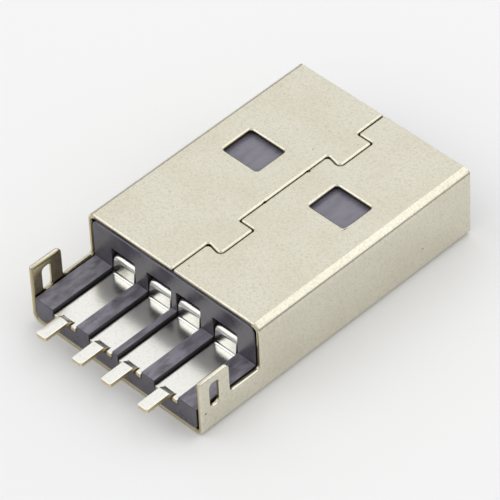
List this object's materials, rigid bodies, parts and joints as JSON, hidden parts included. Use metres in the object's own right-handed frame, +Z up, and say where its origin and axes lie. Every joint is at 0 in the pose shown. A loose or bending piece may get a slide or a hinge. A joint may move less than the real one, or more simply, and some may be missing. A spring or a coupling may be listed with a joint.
{
  "type": "usb-a plug",
  "caption": "Flat rectangular plug with a folded metal shell, a moulded tongue, flush blade contacts and a rear platform of solder pads between ribs and ears.",
  "frame": {"origin": "middle of the box's underside, on the surface that the plug lies on", "axes": "+Y towards the mating end, +Z up through the face with the seam, +X to the right seen from the solder pads"},
  "size_m": [0.012, 0.0208, 0.0045],
  "materials": {
    "nickel_plated_steel": "satin nickel plate",
    "black_moulding": "fine matt moulding",
    "tinned_strip": "bright tin plate"
  },
  "bodies": {
    "root": {"shell": "nickel_plated_steel", "housing": "black_moulding", "contact_1": "tinned_strip", "contact_2": "tinned_strip", "contact_3": "tinned_strip", "contact_4": "tinned_strip"}
  },
  "joints": []
}
